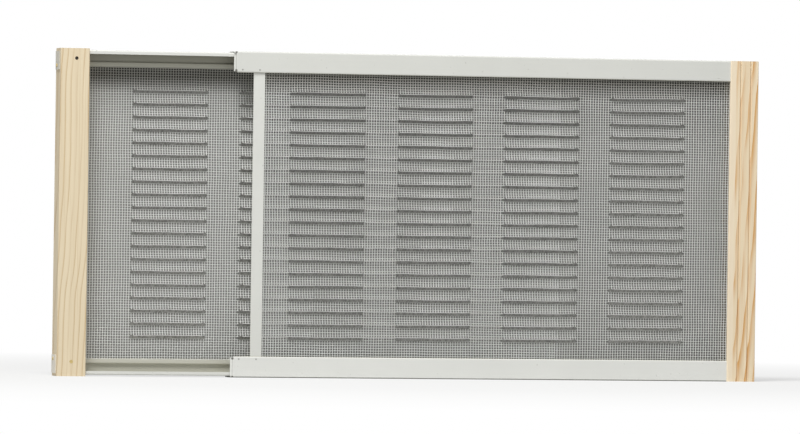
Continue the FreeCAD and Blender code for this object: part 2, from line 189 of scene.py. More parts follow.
@dataclass
class Made:
    """A node that has been added, with its outputs by name or number."""

    graph: "Graph"
    node: Node

    def __getitem__(self, key: Union[str, int]) -> Value:
        """The output of that name or number."""
        return Value(self.graph, self.node.outputs[key])


@dataclass
class Graph:
    """A node tree that is filled by calls."""

    tree: NodeTree

    def add(self, kind: str, inputs: dict[Any, Any] | None = None, **settings: Any) -> Made:
        """Add a node, set it up and feed its sockets.

        Args:
            kind: Blender's type name of the node.
            inputs: A value or a Value for each input, by the socket's name or number.
            settings: Properties of the node, set before its inputs.

        Returns:
            The node with its outputs.
        """
        node = self.tree.nodes.new(kind)
        for name, setting in settings.items():
            setattr(node, name, setting)
        for name, source in (inputs or {}).items():
            if isinstance(source, Value):
                self.tree.links.new(source.socket, node.inputs[name])
            else:
                node.inputs[name].default_value = source
        return Made(self, node)

    def mix(self, share: Number, first: Any, second: Any) -> Value:
        """Blend two colours.

        Args:
            share: Share of the second colour, from zero to one.
            first: Colour or Value where the share is zero.
            second: Colour or Value where the share is one.

        Returns:
            The blended colour.
        """
        return self.add("ShaderNodeMix", {0: share, 6: first, 7: second}, data_type="RGBA")[2]


class Surface(Graph):
    """The graph of a material, with the parts that every finish here uses."""

    def __init__(self, name: str) -> None:
        """Start an empty material.

        Args:
            name: Name of the material.
        """
        self.material = bpy.data.materials.new(name)
        self.material.use_nodes = True
        self.material.node_tree.nodes.clear()
        super().__init__(self.material.node_tree)
        self.place = self.add("ShaderNodeTexCoord")["Object"]
        split = self.add("ShaderNodeSeparateXYZ", {0: self.place})
        self.x, self.y, self.z = split[0], split[1], split[2]

    def noise(self, scale: float | Triple, detail: float = 3.0, rough: float = 0.5) -> Value:
        """Add cloudy noise.

        Args:
            scale: Cells per metre, or their number along each axis for noise that is drawn out.
            detail: Octaves of finer noise.
            rough: Weight of the finer octaves.

        Returns:
            The noise, from zero to one.
        """
        vector = self.place
        if isinstance(scale, tuple):
            vector = self.add("ShaderNodeMapping", {"Vector": vector, "Scale": scale})["Vector"]
            scale = 1.0
        inputs = {"Vector": vector, "Scale": scale, "Detail": detail, "Roughness": rough}
        return self.add("ShaderNodeTexNoise", inputs)["Fac"]

    def finish(self, colour: Any, rough: Any, metallic: float = 0.0, height: Value | None = None,
               depth: float = 0.0) -> Material:
        """Close the graph with a Principled surface.

        Args:
            colour: Base colour or a Value.
            rough: Roughness or a Value.
            metallic: Metallic share, the same all over.
            height: Relief from zero to one, or None.
            depth: Depth of the relief in metres.

        Returns:
            The finished material.
        """
        inputs = {"Base Color": colour, "Roughness": rough, "Metallic": metallic}
        if height is not None:
            bump = self.add("ShaderNodeBump", {"Strength": 1.0, "Distance": depth, "Height": height})
            inputs["Normal"] = bump["Normal"]
        return self.close(self.add("ShaderNodeBsdfPrincipled", inputs)["BSDF"])

    def close(self, shader: Value) -> Material:
        """Show that shader, and give the material."""
        self.add("ShaderNodeOutputMaterial", {"Surface": shader})
        return self.material


# Finishes
@dataclass(frozen=True)
class Fold:
    """The hollow inside a folded rail, between the middles of opposite walls."""

    start: float
    front: float
    back: float
    half_height: float


@dataclass(frozen=True)
class Mark:
    """A round patch of painted shade, the same above and below the screen's middle height."""

    along: float
    height: float
    radius: float
    depth: float


@dataclass(frozen=True)
class Enamel:
    """Light warm-grey enamel on folded steel, with a darker olive backing coat on the inside of the fold, and
    painted shade in marks, at the foot, along the crease and towards the fold's corner.
    """

    name: str
    middle_height: float
    fold: Fold | None = None
    tab_end: float = -1.0
    marks: tuple[Mark, ...] = ()
    shaded_foot: float = -1.0
    crease: float = -1.0
    crease_width: float = 0.5 * MM
    web_height: float = 12.0 * MM
    pale: Colour = (0.70, 0.705, 0.665, 1.0)
    dull: Colour = (0.63, 0.635, 0.595, 1.0)
    tab: Colour = (0.64, 0.60, 0.49, 1.0)
    coat_and_shade: Colour = (0.42, 0.415, 0.34, 1.0)
    shaded_corner_coat: Colour = (0.35, 0.345, 0.28, 1.0)
    speck: Colour = (0.33, 0.32, 0.28, 1.0)
    painted_shade_tone: Colour = (0.10, 0.095, 0.08, 1.0)
    streak_scale: Triple = (9.0, 900.0, 900.0)
    cloud_scale: float = 22.0
    speck_scale: float = 420.0
    peel_scale: float = 900.0
    peel_depth: float = 0.02 * MM
    streak_share: float = 0.5
    cloud_share: float = 1.3
    dullness: float = 0.42
    speck_depth: float = 0.55
    tab_depth: float = 0.9
    mark_edge: float = 2.5
    foot_shade_depth: float = 0.8
    crease_shade_depth: float = 0.35
    backing_depth: float = 0.35
    rough: float = 0.36
    cloud_rough: float = 0.16
    speck_rough: float = 0.2
    hollow_rough: float = 0.18

    def build(self) -> Material:
        """Make the finish.

        Returns:
            The material.
        """
        surface = Surface(self.name)
        streak = surface.noise(self.streak_scale, detail=4.0, rough=0.6)
        cloud = surface.noise(self.cloud_scale, rough=0.55)
        specks = surface.noise(self.speck_scale, detail=2.0).rising(start=0.7, slope=9.0)
        tone = streak.centred() * self.streak_share + cloud.centred() * self.cloud_share + self.dullness
        colour = surface.mix(tone.limited(), self.pale, self.dull)
        colour = surface.mix(specks * self.speck_depth, colour, self.speck)
        colour = self._worn_and_shaded(surface, colour)
        rough = self.rough + cloud * self.cloud_rough + specks * self.speck_rough
        if self.fold is not None:
            hollow = self._hollow(surface, self.fold)
            colour = surface.mix(hollow, colour, self._backing(surface, self.fold, streak))
            rough = rough + hollow * self.hollow_rough
        peel = surface.noise(self.peel_scale, detail=2.0)
        return surface.finish(colour, rough, height=peel, depth=self.peel_depth)

    def _lift(self, surface: Surface) -> Value:
        """Distance above or below the screen's middle height."""
        lift = surface.z - self.middle_height
        return (lift * lift).root()

    def _worn_and_shaded(self, surface: Surface, colour: Value) -> Value:
        """Add the tinted tab, and painted shade in the round marks, at the foot and along the crease.

        Args:
            surface: The graph to add to.
            colour: Colour of the clean enamel.

        Returns:
            Colour of the worn and shaded enamel.
        """
        colour = surface.mix((surface.x < self.tab_end) * self.tab_depth, colour, self.tab)
        # Painted shade in the stakes' dents and in the gaps at the free end's corners.
        for mark in self.marks:
            along = surface.x - mark.along
            across = self._lift(surface) - mark.height
            near = 1.0 - (along * along + across * across).root() / mark.radius
            colour = surface.mix((near * self.mark_edge).limited() * mark.depth, colour, self.painted_shade_tone)
        # Painted shadow along the bottom rail's lower edge, where it stands on the floor.
        colour = surface.mix((surface.z < self.shaded_foot) * self.foot_shade_depth, colour, self.painted_shade_tone)
        # Painted shadow line beside the bend of the turned-in free end.
        shaded_crease = (surface.x > self.crease) * (surface.x < self.crease + self.crease_width)
        return surface.mix(shaded_crease * self.crease_shade_depth, colour, self.painted_shade_tone)

    def _hollow(self, surface: Surface, fold: Fold) -> Value:
        """One inside the fold, zero outside it."""
        deep = (surface.y > fold.front) * (surface.y < fold.back)
        return (surface.x > fold.start) * deep * (self._lift(surface) < fold.half_height)

    def _backing(self, surface: Surface, fold: Fold, streak: Value) -> Value:
        """Colour the inside of the fold: its backing coat, with painted shade that darkens it towards its
        corner.

        Args:
            surface: The graph to add to.
            fold: The hollow.
            streak: Noise along the rail.

        Returns:
            The colour.
        """
        down = (fold.half_height - self._lift(surface)) / self.web_height
        inside = surface.mix(down.limited(), self.shaded_corner_coat, self.coat_and_shade)
        return surface.mix(streak.rising(start=0.3, slope=1.0) * self.backing_depth, inside, self.speck)


@dataclass(frozen=True)
class Pine:
    """Planed softwood from a log whose heart leans across the piece, so that its rings show as flames."""

    name: str
    heart: tuple[float, float]
    lean: float
    ring: float
    early: Colour
    band: Colour
    late: Colour
    late_share: float
    late_power: float
    late_depth: float
    wander: float
    patch_start: float = 0.30
    sap_end: float = -1.0
    sap_blur: float = 0.4 * MM
    shaded_face: float = -1.0
    shaded_depth: float = 1.0
    sap: Colour = (0.84, 0.72, 0.54, 1.0)
    painted_shade: Colour = (0.17, 0.15, 0.11, 1.0)
    fleck: Colour = (0.40, 0.28, 0.16, 1.0)
    sway_scale: Triple = (14.0, 14.0, 9.0)
    ripple_scale: Triple = (260.0, 260.0, 18.0)
    ripple_depth: float = 1.2 * MM
    patch_scale: Triple = (160.0, 160.0, 13.0)
    fibre_scale: Triple = (2600.0, 2600.0, 34.0)
    line_scale: Triple = (700.0, 700.0, 5.0)
    band_scale: Triple = (90.0, 90.0, 4.0)
    grain_depth: float = 0.08 * MM
    line_depth: float = 0.4
    sap_depth: float = 0.9
    fleck_depth: float = 0.3
    rough: float = 0.62
    fibre_rough: float = 0.16
    late_gloss: float = 0.1

    def build(self) -> Material:
        """Make the finish.

        Returns:
            The material.
        """
        surface = Surface(self.name)
        late = self._late_wood(surface)
        fibre = surface.noise(self.fibre_scale, detail=4.0, rough=0.65)
        lines = surface.noise(self.line_scale, rough=0.7)
        bands = surface.noise(self.band_scale, detail=2.0)
        colour = surface.mix(bands.rising(start=0.42, slope=2.6), self.early, self.band)
        colour = surface.mix(lines.rising(start=0.55, slope=6.0) * self.line_depth, colour, self.late)
        colour = surface.mix((late * self.late_depth).limited(), colour, self.late)
        sappy = ((self.sap_end - surface.x) / self.sap_blur).limited()
        colour = surface.mix(sappy * self.sap_depth, colour, self.sap)
        colour = surface.mix(fibre.rising(start=0.62, slope=5.0) * self.fleck_depth, colour, self.fleck)
        # Painted shade on the right stile's inner face, behind the wire.
        painted_shade_share = (surface.x < self.shaded_face) * (surface.y > self.shaded_depth)
        colour = surface.mix(painted_shade_share, colour, self.painted_shade)
        rough = self.rough + fibre * self.fibre_rough - late * self.late_gloss
        return surface.finish(colour, rough, height=late * 0.5 + fibre * 0.5, depth=self.grain_depth)

    def _late_wood(self, surface: Surface) -> Value:
        """Draw the dark late wood at the outside of each ring.

        Args:
            surface: The graph to add to.

        Returns:
            Its share, from zero to one.
        """
        sway = surface.noise(self.sway_scale, detail=2.0)
        ripple = surface.noise(self.ripple_scale, rough=0.6)
        across = surface.x - self.heart[0] - surface.z * self.lean + sway.centred() * self.wander
        deep = surface.y - self.heart[1] + ripple.centred() * self.ripple_depth
        season = (across * across + deep * deep).root() / self.ring % 1.0
        late = season.between(1.0 - self.late_share, 1.0)
        patchy = surface.noise(self.patch_scale, detail=2.0).rising(self.patch_start, slope=4.0)
        return late ** self.late_power * patchy


@dataclass(frozen=True)
class Zinc:
    """Dull galvanised wire, darkened near the top rail by painted shade that stands for the rail's shadow."""

    name: str
    painted_shade_start: float
    painted_shade_end: float
    bright: Colour
    dark: Colour
    painted_shade: Colour = (0.36, 0.355, 0.32, 1.0)
    cloud_scale: float = 60.0
    grain_scale: float = 1800.0
    cloud_share: float = 1.4
    grain_share: float = 0.8
    dullness: float = 0.5
    rough: float = 0.42
    grain_rough: float = 0.2

    def build(self) -> Material:
        """Make the finish.

        Returns:
            The material.
        """
        surface = Surface(self.name)
        cloud = surface.noise(self.cloud_scale, rough=0.6)
        grain = surface.noise(self.grain_scale, detail=2.0)
        tone = cloud.centred() * self.cloud_share + grain.centred() * self.grain_share + self.dullness
        wire = surface.mix(tone.limited(), self.bright, self.dark)
        # Painted shadow of the top rail on the wire, strongest just below it.
        colour = surface.mix(surface.z.between(self.painted_shade_start, self.painted_shade_end), wire, self.painted_shade)
        return surface.finish(colour, self.rough + grain * self.grain_rough)


@dataclass(frozen=True)
class ClosedWire:
    """Wire pressed together under a louvre, with painted shade near the top rail and where the other panel
    lies behind.
    """

    name: str
    foot: float
    head: float
    backed_end: float = -1.0
    high_shade: float = 0.36
    backed_shade: float = 0.21
    wire: Colour = (0.34, 0.34, 0.32, 1.0)
    gap: Colour = (0.185, 0.185, 0.17, 1.0)
    painted_shade: Colour = (0.04, 0.04, 0.035, 1.0)
    weave_scale: Triple = (700.0, 500.0, 500.0)
    rough: float = 0.6

    def build(self) -> Material:
        """Make the finish.

        Returns:
            The material.
        """
        surface = Surface(self.name)
        weave = surface.noise(self.weave_scale, detail=2.0).rising(start=0.4, slope=4.0)
        high = surface.z.between(self.foot, self.head)
        # Painted shade: darker under the top rail and where the other panel lies behind the strip.
        painted_shade_share = high * self.high_shade + (surface.x < self.backed_end) * self.backed_shade
        cloth = surface.mix(weave, self.wire, self.gap)
        return surface.finish(surface.mix(painted_shade_share, cloth, self.painted_shade), self.rough)


@dataclass(frozen=True)
class NailSteel:
    """Wire-nail steel that has yellowed, with painted shade above a height, where a head sits in its hole."""

    name: str
    bright: Colour = (0.66, 0.50, 0.20, 1.0)
    shaded_in_hole: Colour = (0.05, 0.042, 0.033, 1.0)
    worn: Colour = (0.22, 0.17, 0.09, 1.0)
    hole_shade_height: float = 1.0
    mottle_scale: float = 1500.0
    mottle_depth: float = 0.03 * MM
    wear_depth: float = 0.6
    metallic: float = 0.3
    rough: float = 0.38
    mottle_rough: float = 0.25

    def build(self) -> Material:
        """Make the finish.

        Returns:
            The material.
        """
        surface = Surface(self.name)
        mottle = surface.noise(self.mottle_scale, rough=0.6)
        worn = surface.mix(mottle.rising(start=0.4, slope=3.0) * self.wear_depth, self.bright, self.worn)
        # Painted shade: the head above that height, sunk in its hole, is dark.
        colour = surface.mix(surface.z > self.hole_shade_height, worn, self.shaded_in_hole)
        rough = self.rough + mottle * self.mottle_rough
        return surface.finish(colour, rough, self.metallic, mottle, self.mottle_depth)


# Woven wire
class Family(Enum):
    """The two sets of wires in a weave."""

    WARP = "warp"
    WEFT = "weft"


@dataclass
class Louvres:
    """Rows and columns of pressed louvres in a wire panel, in metres."""

    first_x: float = 0.0
    first_z: float = 0.0
    length: float = 61.3 * MM
    spacing: float = 86.5 * MM
    columns: int = 4
    pitch: float = 10.05 * MM
    rows: int = 20
    height: float = 4.6 * MM
    under: float = 2.0 * MM
    rise: float = 1.8 * MM
    end_run: float = 1.6 * MM

    @property
    def block_width(self) -> float:
        """Width from the first column's start to the last one's end."""
        return (self.columns - 1) * self.spacing + self.length

    @property
    def block_height(self) -> float:
        """Height from the lowest crest to the highest."""
        return (self.rows - 1) * self.pitch


@dataclass
class WirePanel:
    """A sheet of plain-woven wire, slit and pressed into louvres, that stands for one CAD panel."""

    node: str
    body: str
    louvres: Louvres
    warp_start: float = 0.0
    warp_wire: float = 0.54 * MM
    weft_wire: float = 0.44 * MM
    warp_pitch: float = 2.07 * MM
    rows_per_louvre: int = 5
    weft_stride: int = 2
    crimp: float = 0.1 * MM
    sway: float = 1.2 * MM
    sway_scale: float = 30.0
    curl: float = 0.25
    sides: int = 4
    inset: float = 0.35 * MM
    wall: float = 0.6 * MM
    lip: float = 0.15 * MM
    low: Vector = field(init=False)
    high: Vector = field(init=False)

    def __post_init__(self) -> None:
        """Read the panel's place from its CAD node."""
        self.low, self.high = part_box(self.node)

    @property
    def weft_pitch(self) -> float:
        """Height from one cross wire to the next, a whole share of the louvres' pitch."""
        return self.louvres.pitch / self.rows_per_louvre

    @property
    def drop(self) -> float:
        """Height from a louvre's crest down to its foot."""
        return self.louvres.under + self.louvres.rise * self.curl

    def build(self, finishes: dict[Family, Material], closed: Material) -> list[Object]:
        """Weave both sets of wires, close the louvres below and let all ride in place of the CAD panel.

        Args:
            finishes: Material of each set of wires.
            closed: Material of the louvres' undersides.

        Returns:
            The three finished pieces.
        """
        jobs = [(self._weave(family, finishes[family]), self._wire_sizes(family)) for family in Family]
        jobs.append((self._undersides(closed), self._strip_sizes()))
        pieces = []
        for tree, sizes in jobs:
            piece = self._run(tree, sizes)
            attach(piece, self.body)
            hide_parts(self.node)
            pieces.append(piece)
        return pieces

    def _wire_sizes(self, family: Family) -> dict[str, float]:
        """Gather the sizes of one set of wires.

        Args:
            family: Which set of wires.

        Returns:
            The sizes by the names of its tree's inputs.
        """
        warp = family is Family.WARP
        return {
            "Wire": self.warp_wire if warp else self.weft_wire,
            "Crimp": self.crimp if warp else 0.0,
            "Rise": self.louvres.rise,
            "Slope": self.louvres.height,
            "Under": self.louvres.under,
            "End Run": self.louvres.end_run,
            "Sway": self.sway,
            "Curl": self.curl,
        }

    def _strip_sizes(self) -> dict[str, float]:
        """Sizes of the closed strips by the names of their tree's inputs."""
        return {"Lip": self.lip, "Strip": math.hypot(self.louvres.rise, self.drop)}

    @staticmethod
    def _run(tree: NodeTree, sizes: dict[str, float]) -> Object:
        """Run a node tree and keep its result as a plain mesh.

        Args:
            tree: The tree, whose name the piece takes.
            sizes: The value of each of its inputs by name.

        Returns:
            A piece at the origin with its place in its mesh.
        """
        piece = bpy.data.objects.new(tree.name, bpy.data.meshes.new(f"{tree.name}_seed"))
        bpy.context.scene.collection.objects.link(piece)
        modifier = piece.modifiers.new("nodes", "NODES")
        modifier.node_group = tree
        for socket in tree.interface.items_tree:
            if socket.in_out == "INPUT":
                modifier[socket.identifier] = sizes[socket.name]
        settle(piece)
        return piece

    @staticmethod
    def _new_tree(name: str, sizes: dict[str, float]) -> Graph:
        """Start a node tree with one output and a named input for each size.

        Args:
            name: Name of the tree.
            sizes: The sizes by the inputs' names.

        Returns:
            The empty graph.
        """
        tree = bpy.data.node_groups.new(name, "GeometryNodeTree")
        for label in sizes:
            tree.interface.new_socket(label, in_out="INPUT", socket_type="NodeSocketFloat")
        tree.interface.new_socket("Geometry", in_out="OUTPUT", socket_type="NodeSocketGeometry")
        return Graph(tree)

    @staticmethod
    def _close(graph: Graph, shape: Value, finish: Material) -> NodeTree:
        """End a tree with a real mesh that wears its material.

        Args:
            graph: The tree to end.
            shape: Its geometry.
            finish: Its material.

        Returns:
            The whole tree.
        """
        real = graph.add("GeometryNodeRealizeInstances", {"Geometry": shape})
        painted = graph.add("GeometryNodeSetMaterial", {"Geometry": real["Geometry"], "Material": finish})
        graph.add("NodeGroupOutput", {0: painted["Geometry"]})
        return graph.tree

    def _undersides(self, finish: Material) -> NodeTree:
        """Build the tree that lays a slanting strip of closed wire from each louvre's crest down to its foot.

        Args:
            finish: Material of the strips.

        Returns:
            The tree.
        """
        grid = self.louvres
        graph = self._new_tree(f"{self.node}_undersides", self._strip_sizes())
        size = graph.add("NodeGroupInput")
        middle = (grid.first_x + grid.length / 2, self.high.y - self.wall / 2 - grid.rise / 2,
                  grid.first_z + grid.rise * self.curl - self.drop / 2)
        rows = graph.add("GeometryNodeMeshLine",
                         {"Count": grid.rows, "Start Location": middle, "Offset": (0.0, 0.0, grid.pitch)})
        columns = graph.add("GeometryNodeMeshLine",
                            {"Count": grid.columns, "Offset": (grid.spacing, 0.0, 0.0)})
        places = graph.add("GeometryNodeInstanceOnPoints",
                           {"Points": columns["Mesh"], "Instance": rows["Mesh"]})
        points = graph.add("GeometryNodeRealizeInstances", {"Geometry": places["Instances"]})
        shape = graph.add("ShaderNodeCombineXYZ",
                          {0: grid.length - grid.end_run, 1: size["Lip"], 2: size["Strip"]})
        strip = graph.add("GeometryNodeMeshCube", {"Size": shape[0]})
        laid = graph.add("GeometryNodeInstanceOnPoints", {
            "Points": points["Geometry"],
            "Instance": strip["Mesh"],
            "Rotation": (math.atan2(grid.rise, self.drop), 0.0, 0.0),
        })
        return self._close(graph, laid["Instances"], finish)

    def _weave(self, family: Family, finish: Material) -> NodeTree:
        """Build the tree that lays one set of wires, presses, sways and slits them and makes them round.

        Args:
            family: Which set of wires.
            finish: Material of the wire.

        Returns:
            The tree.
        """
        graph = self._new_tree(f"{self.node}_{family.value}", self._wire_sizes(family))
        size = graph.add("NodeGroupInput")
        lines, along = self._straight_wires(graph, family)
        place = graph.add("GeometryNodeInputPosition")[0]
        split = graph.add("ShaderNodeSeparateXYZ", {0: place})
        x, y, z = split[0], split[1], split[2]
        inside, above = self._louvre_cells(graph, x, z)
        slope = (1.0 - (above / size["Slope"]).most(above / size["Under"] * -1.0)).limited()
        pressed = size["Rise"] * slope * (inside / size["End Run"]).limited()
        index = graph.add("GeometryNodeInputIndex")[0]
        wave = ((index % along + (index / along).floor()) % 2.0) * 2.0 - 1.0
        cloth = graph.add("ShaderNodeCombineXYZ", {0: x - self.warp_start, 2: z})[0]
        drift = graph.add("ShaderNodeTexNoise", {"Vector": cloth, "Scale": self.sway_scale, "Detail": 1.0})
        aside = graph.add("ShaderNodeSeparateXYZ", {0: drift["Color"]})
        shifted = graph.add("ShaderNodeCombineXYZ", {
            0: x + aside[0].centred() * size["Sway"],
            1: y - pressed + wave * size["Crimp"],
            2: z + aside[1].centred() * size["Sway"] + pressed * size["Curl"],
        })
        if family is Family.WARP:
            slit = (inside > 0.0) * (above < size["Wire"] * -1.0) * (above > size["Under"] * -1.0)
            lines = graph.add("GeometryNodeDeleteGeometry", {"Geometry": lines, "Selection": slit},
                              domain="EDGE", mode="EDGE_FACE")["Geometry"]
        moved = graph.add("GeometryNodeSetPosition", {"Geometry": lines, "Position": shifted[0]})
        curve = graph.add("GeometryNodeMeshToCurve", {"Mesh": moved["Geometry"]})
        section = graph.add("GeometryNodeCurvePrimitiveCircle",
                            {"Resolution": self.sides, "Radius": size["Wire"] * 0.5})
        tube = graph.add("GeometryNodeCurveToMesh",
                         {"Curve": curve["Curve"], "Profile Curve": section["Curve"], "Fill Caps": True})
        return self._close(graph, tube["Mesh"], finish)

    def _straight_wires(self, graph: Graph, family: Family) -> tuple[Value, int]:
        """Lay straight wires side by side in the panel's plane.

        Args:
            graph: The tree to add to.
            family: Which set of wires.

        Returns:
            The wires as edges, and the number of points on each.
        """
        depth = self.high.y - self.wall / 2
        first_row = math.ceil((self.low.z + self.inset - self.louvres.first_z) / self.weft_pitch)
        last_row = math.floor((self.high.z - self.inset - self.louvres.first_z) / self.weft_pitch)
        rows = last_row - first_row + 1
        bottom = self.louvres.first_z + first_row * self.weft_pitch
        first_wire = math.ceil((self.low.x + self.inset - self.warp_start) / self.warp_pitch)
        last_wire = math.floor((self.high.x - self.inset - self.warp_start) / self.warp_pitch)
        wires = last_wire - first_wire + 1
        left = self.warp_start + first_wire * self.warp_pitch
        if family is Family.WARP:
            points, run = rows, (0.0, 0.0, self.weft_pitch)
            count, step = wires, (self.warp_pitch, 0.0, 0.0)
        else:
            stride = self.warp_pitch * self.weft_stride
            points, run = math.floor((wires - 1) / self.weft_stride) + 1, (stride, 0.0, 0.0)
            count, step = rows, (0.0, 0.0, self.weft_pitch)
        wire = graph.add("GeometryNodeMeshLine", {"Count": points, "Offset": run})
        stands = graph.add("GeometryNodeMeshLine",
                           {"Count": count, "Start Location": (left, depth, bottom), "Offset": step})
        laid = graph.add("GeometryNodeInstanceOnPoints",
                         {"Points": stands["Mesh"], "Instance": wire["Mesh"]})
        real = graph.add("GeometryNodeRealizeInstances", {"Geometry": laid["Instances"]})
        return real["Geometry"], points

    def _louvre_cells(self, graph: Graph, x: Value, z: Value) -> tuple[Value, Value]:
        """Find where a point lies in the grid of louvres.

        Args:
            graph: The tree to add to.
            x: Place along the panel.
            z: Height.

        Returns:
            Distance inside the nearer end of a louvre (negative outside), and height above the nearest crest.
        """
        grid = self.louvres
        column = (x - grid.first_x) / grid.spacing
        run = (column % 1.0) * grid.spacing
        on_column = (column > 0.0) * (column < float(grid.columns))
        inside = run.least(grid.length - run) * on_column - (1.0 - on_column)
        row = (z - grid.first_z) / grid.pitch + grid.under / grid.pitch
        nearest = row.floor().most(0.0).least(grid.rows - 1.0)
        return inside, (z - grid.first_z) - nearest * grid.pitch


# Studio
def seen_directly(graph: Graph) -> Value:
    """One for rays from the camera, off metal and through glass."""
    path = graph.add("ShaderNodeLightPath")
    return path["Is Camera Ray"].most(path["Is Glossy Ray"]).most(path["Is Transmission Ray"])


@dataclass(frozen=True)
class Lamp:
    """A square soft lamp: its place, the length of its side and its power in watts."""

    name: str
    place: Triple
    side: float
    power: float


@dataclass
class Studio:
    """Pale floor that fades to white, soft lamps, an even sky and a grey card behind each wire panel."""

    floor_colour: Colour = (0.62, 0.62, 0.61, 1.0)
    floor_size: float = 16.0
    near_white: float = 0.6
    fade_start: float = 0.35
    fade_end: float = 0.9
    panels: tuple[tuple[str, str], ...] = (("back_panel", "back_top_rail"), ("front_panel", "front_top_rail"))
    card_colours: tuple[Colour, ...] = ((0.28, 0.28, 0.265, 1.0), (0.235, 0.235, 0.221, 1.0))
    card_gap: float = 1.5 * MM
    card_margin: float = 6.0 * MM
    card_shade: Colour = (0.05, 0.05, 0.045, 1.0)
    shade_start: float = 17.0 * MM
    shade_end: float = 4.0 * MM
    shade_depth: float = 0.9
    sky: float = 0.26
    white: Colour = (1.0, 1.0, 1.0, 1.0)
    aim: Triple = (0.0, 0.0, 0.127)
    lamps: tuple[Lamp, ...] = (
        Lamp("key_lamp", (-0.7, -1.1, 2.5), 0.9, 84.0),
        Lamp("fill_lamp", (0.9, -2.4, 0.5), 1.6, 3.0),
    )

    def build(self) -> None:
        """Set up the whole stage."""
        half = self.floor_size / 2
        corners = [(-half, -half, 0.0), (half, -half, 0.0), (half, half, 0.0), (-half, half, 0.0)]
        self._sheet("floor", corners, self._floor_paper())
        for layer, ((panel, rail), colour) in enumerate(zip(self.panels, self.card_colours), start=1):
            self._card(panel, rail, layer, self._one_sided_paper(panel, colour))
        for lamp in self.lamps:
            self._hang(lamp)
        self._sky()

    def _card(self, panel: str, rail: str, layer: int, finish: Material) -> None:
        """Stand a card behind one panel, hidden by its rails and stile, and let it move with that panel.

        Args:
            panel: The body that the panel's pieces ride on.
            rail: The panel's top rail, whose length the card takes.
            layer: How many gaps the card stands behind the screen.
            finish: Its material.
        """
        low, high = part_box(rail)
        whole_low, whole_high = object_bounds()
        depth = whole_high.y + self.card_gap * layer
        left, right = low.x + self.card_margin, high.x - self.card_margin
        foot, head = whole_low.z + self.card_margin, whole_high.z - self.card_margin
        corners = [(left, depth, foot), (right, depth, foot), (right, depth, head), (left, depth, head)]
        card = self._sheet(f"{panel}_card", corners, finish)
        card.visible_shadow = False
        card.visible_diffuse = False
        card.parent = frame["bodies"][panel]
        card.matrix_parent_inverse = frame["bodies"][panel].matrix_world.inverted()

    @staticmethod
    def _sheet(name: str, corners: list[Triple], finish: Material) -> Object:
        """Add a flat sheet to the stage.

        Args:
            name: Name of the sheet.
            corners: Its four corners, anticlockwise seen from its front.
            finish: Its material.

        Returns:
            The sheet.
        """
        mesh = bpy.data.meshes.new(name)
        mesh.from_pydata(corners, [], [(0, 1, 2, 3)])
        mesh.materials.append(finish)
        sheet = bpy.data.objects.new(name, mesh)
        bpy.context.scene.collection.objects.link(sheet)
        sheet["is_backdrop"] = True
        return sheet

    def _floor_paper(self) -> Material:
        """Make matt pale paper that shows as plain white away from the screen.

        Returns:
            The material.
        """
        surface = Surface("floor_paper")
        reach = (surface.x * surface.x + surface.y * surface.y).root()
        away = reach.between(self.fade_start, self.fade_end)
        share = self.near_white + away * (1.0 - self.near_white)
        matt = surface.add("ShaderNodeBsdfDiffuse", {"Color": self.floor_colour})
        white = surface.add("ShaderNodeEmission", {"Color": self.white, "Strength": 1.0})
        both = surface.add("ShaderNodeMixShader",
                           {0: share * seen_directly(surface), 1: matt["BSDF"], 2: white["Emission"]})
        return surface.close(both["Shader"])

    def _one_sided_paper(self, name: str, colour: Colour) -> Material:
        """Make matt paper that darkens under the top rail and can be seen through from its back.

        Args:
            name: What stands in front of it.
            colour: Its colour.

        Returns:
            The material.
        """
        surface = Surface(f"{name}_paper")
        back = surface.add("ShaderNodeNewGeometry")["Backfacing"]
        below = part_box("front_top_rail")[0].z - surface.z
        shade = below.between(self.shade_start, self.shade_end)
        paper = surface.mix(shade * self.shade_depth, colour, self.card_shade)
        matt = surface.add("ShaderNodeBsdfPrincipled",
                           {"Base Color": paper, "Roughness": 1.0, "Specular IOR Level": 0.0})
        clear = surface.add("ShaderNodeBsdfTransparent")
        both = surface.add("ShaderNodeMixShader", {0: back, 1: matt["BSDF"], 2: clear["BSDF"]})
        return surface.close(both["Shader"])

    def _hang(self, lamp: Lamp) -> None:
        """Hang a lamp so that it faces the screen's middle.

        Args:
            lamp: The lamp.
        """
        light = bpy.data.lights.new(lamp.name, "AREA")
        light.size = lamp.side
        light.energy = lamp.power
        holder = bpy.data.objects.new(lamp.name, light)
        place = Vector(lamp.place)
        holder.location = place
        holder.rotation_euler = (Vector(self.aim) - place).to_track_quat("-Z", "Y").to_euler()
        bpy.context.scene.collection.objects.link(holder)

    def _sky(self) -> None:
        """Light the scene evenly, with plain white behind it for the camera."""
        world = bpy.data.worlds.new("even_sky")
        bpy.context.scene.world = world
        world.use_nodes = True
        world.node_tree.nodes.clear()
        graph = Graph(world.node_tree)
        strength = self.sky + seen_directly(graph) * (1.0 - self.sky)
        light = graph.add("ShaderNodeBackground", {"Color": self.white, "Strength": strength})
        graph.add("ShaderNodeOutputWorld", {"Surface": light["Background"]})


